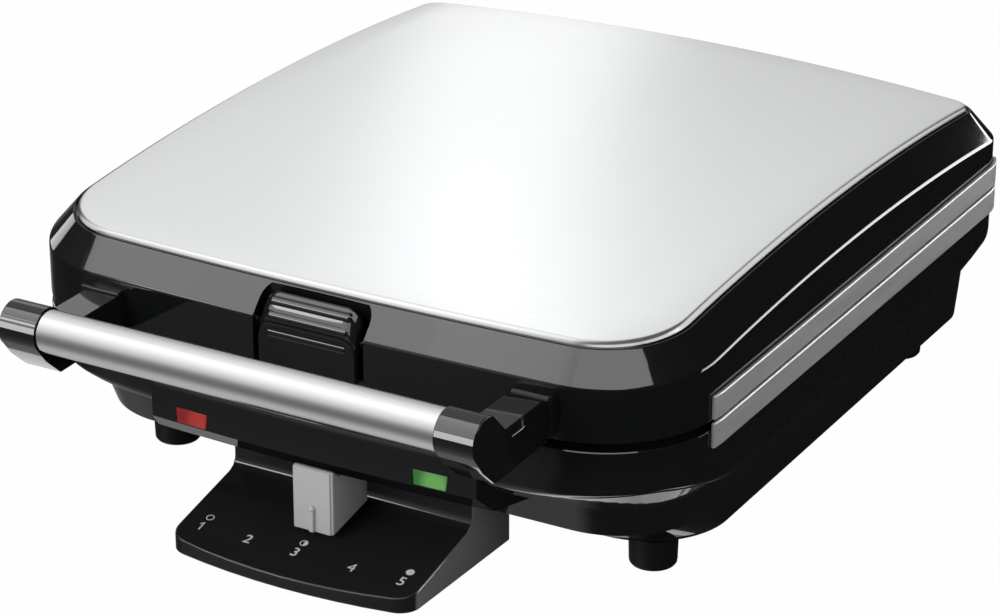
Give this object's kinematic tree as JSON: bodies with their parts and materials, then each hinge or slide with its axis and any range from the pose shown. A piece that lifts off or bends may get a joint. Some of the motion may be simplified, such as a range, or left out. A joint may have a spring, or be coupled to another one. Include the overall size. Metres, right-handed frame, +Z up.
{
  "type": "waffle maker",
  "caption": "Countertop square waffle maker with a crowned hinged lid, bar handle, sprung latch, cast waffle plates, indicator lamps and a sliding browning control.",
  "frame": {"origin": "on the table plane under the middle of the whole object's bounding box", "axes": "+Z up, -Y towards the handle and the control (the front), +X to the right seen from the front"},
  "size_m": [0.2682, 0.3658, 0.1118],
  "materials": {
    "black_gloss": "glossy moulded plastic",
    "black_satin": "satin moulded plastic",
    "steel_panel": "fine brushed stainless sheet",
    "trim": "brushed grey trim",
    "tube": "satin tube",
    "knob": "silver painted plastic",
    "plate": "dark non-stick coating on cast aluminium",
    "sheet": "mill finish sheet",
    "element": "dull sheathed rod",
    "fastener": "plated steel",
    "inner_plastic": "natural heat-proof plastic",
    "gear": "natural nylon",
    "rubber": "matte black rubber",
    "red_lens": "clear red",
    "green_lens": "clear green",
    "lamp": "clear lamp envelope"
  },
  "bodies": {
    "base": {"base_shell": "black_gloss", "bottom_cover": "black_satin", "bottom_screw_1": "fastener", "bottom_screw_2": "fastener", "bottom_screw_3": "fastener", "bottom_screw_4": "fastener", "foot_front_left": "rubber", "foot_front_right": "rubber", "foot_rear_left": "rubber", "foot_rear_right": "rubber", "base_deck": "plate", "lower_plate": "plate", "lower_element": "element", "lower_reflector": "sheet", "base_trim_left": "trim", "base_trim_right": "trim", "control_housing": "black_gloss", "control_pad": "black_gloss", "thermostat": "inner_plastic", "red_lens": "red_lens", "green_lens": "green_lens", "red_lamp": "lamp", "green_lamp": "lamp", "cord_gland": "black_satin", "terminal_block": "inner_plastic", "thermal_fuse": "fastener", "hinge_bracket_left": "black_satin", "hinge_bracket_right": "black_satin", "hinge_pin_left": "fastener", "hinge_pin_right": "fastener"},
    "lid": {"lid_shell": "black_gloss", "lid_panel": "steel_panel", "lid_deck": "plate", "lid_trim_left": "trim", "lid_trim_right": "trim", "upper_plate": "plate", "upper_element": "element", "upper_reflector": "sheet", "lid_lug_left": "black_satin", "lid_lug_right": "black_satin", "latch_pin": "fastener", "latch_bracket": "black_satin", "handle_tube": "tube", "handle_arm_left": "black_gloss", "handle_arm_right": "black_gloss", "handle_screw_left": "fastener", "handle_screw_right": "fastener"},
    "latch": {"latch": "black_gloss"},
    "slider": {"slider_knob": "knob", "slider_carriage": "gear"},
    "pinion": {"thermostat_pinion": "gear"}
  },
  "joints": [
    {"name": "lid_hinge", "type": "hinge", "parent": "base", "child": "lid", "pos_m": [0, 0.1774, 0.071], "axis": [-1, 0, 0], "range_deg": [0, 105]},
    {"name": "latch_pivot", "type": "hinge", "parent": "lid", "child": "latch", "pos_m": [0, -0.1271, 0.088], "axis": [-1, 0, 0], "range_deg": [0, 12], "stiffness_Nm_per_rad": 0.3, "springref_deg": -5.73},
    {"name": "browning_slide", "type": "slide", "parent": "base", "child": "slider", "axis": [1, 0, 0], "range_m": [-0.041, 0.041]},
    {"name": "thermostat_spin", "type": "hinge", "parent": "base", "child": "pinion", "pos_m": [0, -0.0685, 0.04], "axis": [0, 0, 1], "range_deg": [-150, 150]}
  ],
  "couplings": [
    {"joint": "thermostat_spin", "follows": "browning_slide", "rad_per_m": 62.5}
  ]
}
